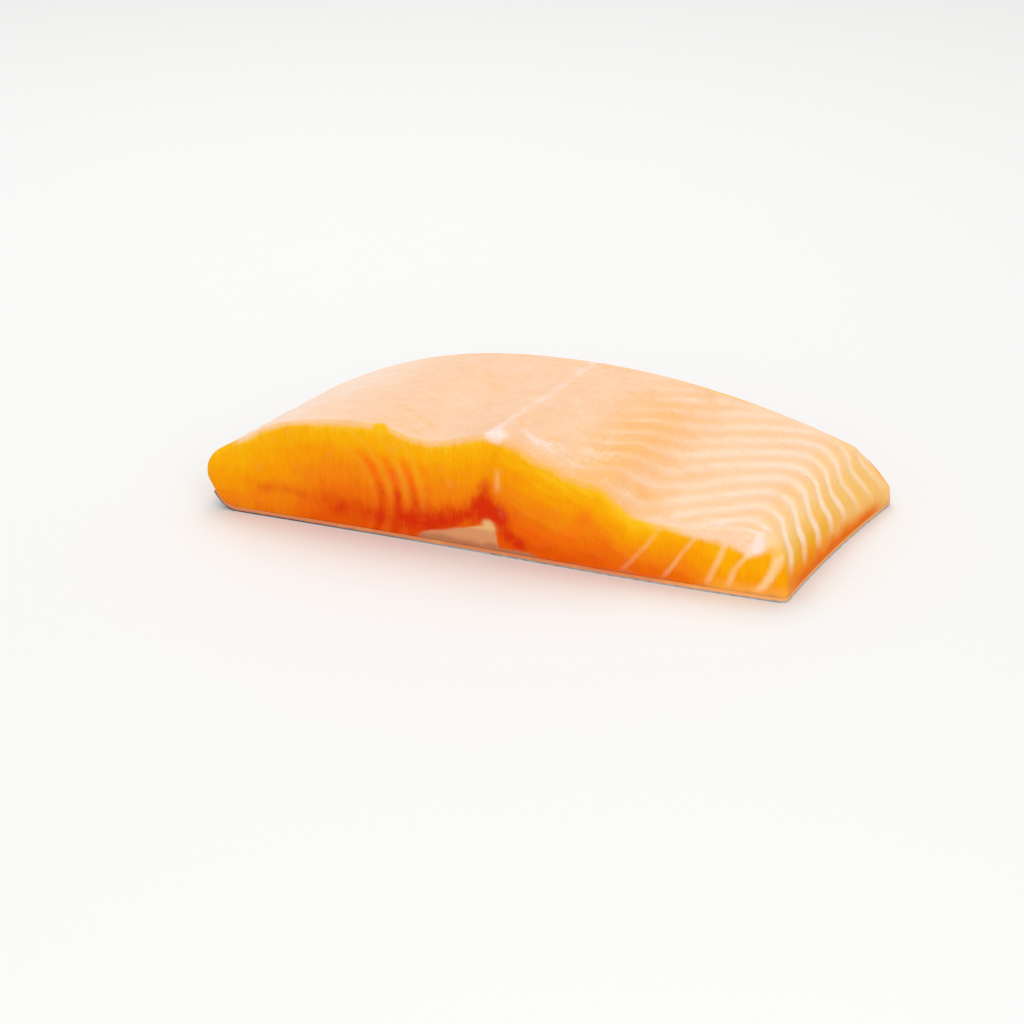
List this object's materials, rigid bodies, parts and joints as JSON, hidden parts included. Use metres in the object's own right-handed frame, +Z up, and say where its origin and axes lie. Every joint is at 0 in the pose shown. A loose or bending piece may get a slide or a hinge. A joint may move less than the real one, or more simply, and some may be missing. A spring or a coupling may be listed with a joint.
{
  "type": "raw salmon fillet",
  "caption": "Raw salmon fillet portion, centre cut with a domed top, square-cut faces and the skin on its flat underside.",
  "frame": {"origin": "middle of the footprint, on the surface the fillet lies on", "axes": "+X along the front cut from the thick back muscle to the thin belly edge, +Y from the front cut to the back cut, +Z up out of the flesh side"},
  "size_m": [0.2161, 0.0992, 0.0427],
  "materials": {
    "flesh": "moist, slightly translucent, orange on the cuts and pale peach on top, with fine pale lines",
    "skin": "wet silver-grey scales, pale along the cut edge"
  },
  "bodies": {
    "root": {"flesh": "flesh", "skin": "skin"}
  },
  "joints": []
}
